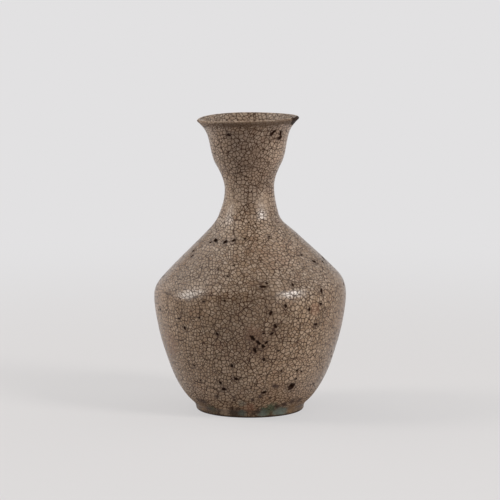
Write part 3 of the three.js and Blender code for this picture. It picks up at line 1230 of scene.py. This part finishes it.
# Soft boxes: bearings are degrees from the front, and powers and colours are settings' names.
LAMPS = (
    Lamp("right_soft_box", 55.5, 30, 0.66, 0.85, "key_power", "cool"),
    Lamp("left_soft_box", -88, 30, 0.8, 1.4, "side_power", "warm"),
    Lamp("top_soft_box", 0, 85, 2.4, 2.4, "top_power", "warm"),
    Lamp("back_left_soft_box", -115, 45, 2.4, 2.4, "back_left_power", "warm"),
    Lamp("back_right_soft_box", 115, 45, 2.4, 2.4, "back_right_power", "cool"),
)


def floor_paper(studio):
    """Matt pale paper, whose shadows fade out away from the vase.

    A share of what is seen of it is its own even colour, and the rest is lit by the lamps.
    """
    finish = Finish("floor_paper")
    finish.surface.inputs["Base Color"].default_value = (*studio.floor, 1)
    finish.surface.inputs["Roughness"].default_value = 0.9
    finish.surface.inputs["Specular IOR Level"].default_value = 0.1
    path = finish.node("ShaderNodeLightPath").outputs
    seen = finish.math("MAXIMUM", path["Is Camera Ray"], path["Is Glossy Ray"])
    seen = finish.math("MAXIMUM", seen, path["Is Transmission Ray"])
    away = finish.vector("LENGTH", finish.place).outputs["Value"]
    even = finish.ramp(away, SHADOW_RADIUS, EVEN_RADIUS, studio.evenness, 1)
    glow = finish.node("ShaderNodeEmission", (("Color", (*studio.backdrop, 1)),))
    share = finish.times(seen, even)
    shaders = (share, finish.surface.outputs[0], glow.outputs[0])
    mixed = finish.node("ShaderNodeMixShader", enumerate(shaders))
    result = finish.tree.nodes["Material Output"]
    finish.tree.links.new(mixed.outputs[0], result.inputs["Surface"])
    return finish.material


def soft_light(lamp, studio):
    """A soft box that faces the vase."""
    turn = math.radians(lamp.bearing)
    rise = math.radians(lamp.elevation)
    level = Vector((math.sin(turn), -math.cos(turn), 0))
    away = level * math.cos(rise) + Vector((0, 0, math.sin(rise)))
    box = bpy.data.lights.new(lamp.name, "AREA")
    box.shape = "RECTANGLE"
    box.size = lamp.width
    box.size_y = lamp.height
    box.energy = getattr(studio, lamp.power)
    box.color = getattr(studio, lamp.colour)
    light = bpy.data.objects.new(lamp.name, box)
    light.location = Vector(LAMP_TARGET) + away * LAMP_DISTANCE
    light.rotation_euler = away.to_track_quat("Z", "Y").to_euler()
    bpy.context.scene.collection.objects.link(light)


class MakeStudio(bpy.types.Operator):
    """Set up the paper floor, the soft lights, the room light and the camera"""

    bl_idname = "vase.make_studio"
    bl_label = "Studio"

    def execute(self, context):
        studio = context.scene.vase_studio
        self.make_floor(studio)
        for lamp in LAMPS:
            soft_light(lamp, studio)
        world = bpy.data.worlds.new("room")
        world.use_nodes = True
        room = world.node_tree.nodes["Background"]
        room.inputs["Color"].default_value = (1, 1, 1, 1)
        room.inputs["Strength"].default_value = studio.ambient
        context.scene.world = world
        context.scene.view_settings.view_transform = "Standard"
        self.make_camera(context, studio)
        return {"FINISHED"}

    def make_floor(self, studio):
        """The paper: a wide flat floor whose far rim curves up all round."""
        profile = [(0, 0)]
        for i in range(RIM_STEPS + 1):
            turn = math.pi / 2 * i / RIM_STEPS
            out = FLOOR_RADIUS + RIM_RADIUS * math.sin(turn)
            profile.append((out, RIM_RADIUS * (1 - math.cos(turn))))
        bm = bmesh.new()
        verts = [bm.verts.new((radius, 0, height)) for radius, height in profile]
        edges = [bm.edges.new(pair) for pair in zip(verts, verts[1:])]
        spin(bm, verts + edges, FLOOR_SIDES)
        mesh = bpy.data.meshes.new("paper_floor")
        bm.to_mesh(mesh)
        bm.free()
        mesh.shade_smooth()
        mesh.materials.append(floor_paper(studio))
        floor = bpy.data.objects.new("paper_floor", mesh)
        bpy.context.scene.collection.objects.link(floor)

    def make_camera(self, context, studio):
        """The camera, as far off and as high as the photograph's."""
        lens = bpy.data.cameras.new("camera")
        lens.sensor_width = SENSOR_WIDTH
        lens.lens = studio.focal_length
        camera = bpy.data.objects.new("camera", lens)
        camera.location = (0, -studio.camera_distance, studio.camera_height)
        camera.rotation_euler = (math.pi / 2 - studio.camera_pitch, 0, 0)
        context.scene.collection.objects.link(camera)
        context.scene.camera = camera


PIECE_MAKERS = (
    MakeFootRing,
    MakeLowerBody,
    MakeShoulder,
    MakeNeck,
    MakeMouthCup,
    MakeRimFill,
    MakeStudio,
)


class VasePanel(bpy.types.Panel):
    """Lists the vase's pieces and settings in the sidebar"""

    bl_idname = "VIEW3D_PT_vase"
    bl_label = "Crackle Glaze Vase"
    bl_space_type = "VIEW_3D"
    bl_region_type = "UI"
    bl_category = "Vase"

    def draw(self, context):
        layout = self.layout
        for settings in (context.scene.vase_glaze, context.scene.vase_studio):
            for name in settings.__annotations__:
                layout.prop(settings, name)
        for maker in PIECE_MAKERS:
            layout.operator(maker.bl_idname)


CLASSES = (GlazeSettings, StudioSettings, *PIECE_MAKERS, VasePanel)


def register():
    for cls in CLASSES:
        bpy.utils.register_class(cls)
    bpy.types.Scene.vase_glaze = bpy.props.PointerProperty(type=GlazeSettings)
    bpy.types.Scene.vase_studio = bpy.props.PointerProperty(type=StudioSettings)


def unregister():
    del bpy.types.Scene.vase_studio
    del bpy.types.Scene.vase_glaze
    for cls in reversed(CLASSES):
        bpy.utils.unregister_class(cls)


def main():
    register()
    bpy.ops.vase.make_foot_ring()
    bpy.ops.vase.make_lower_body()
    bpy.ops.vase.make_shoulder()
    bpy.ops.vase.make_neck()
    bpy.ops.vase.make_mouth_cup()
    bpy.ops.vase.make_rim_fill()
    bpy.ops.vase.make_studio()


if __name__ == "__main__":
    main()
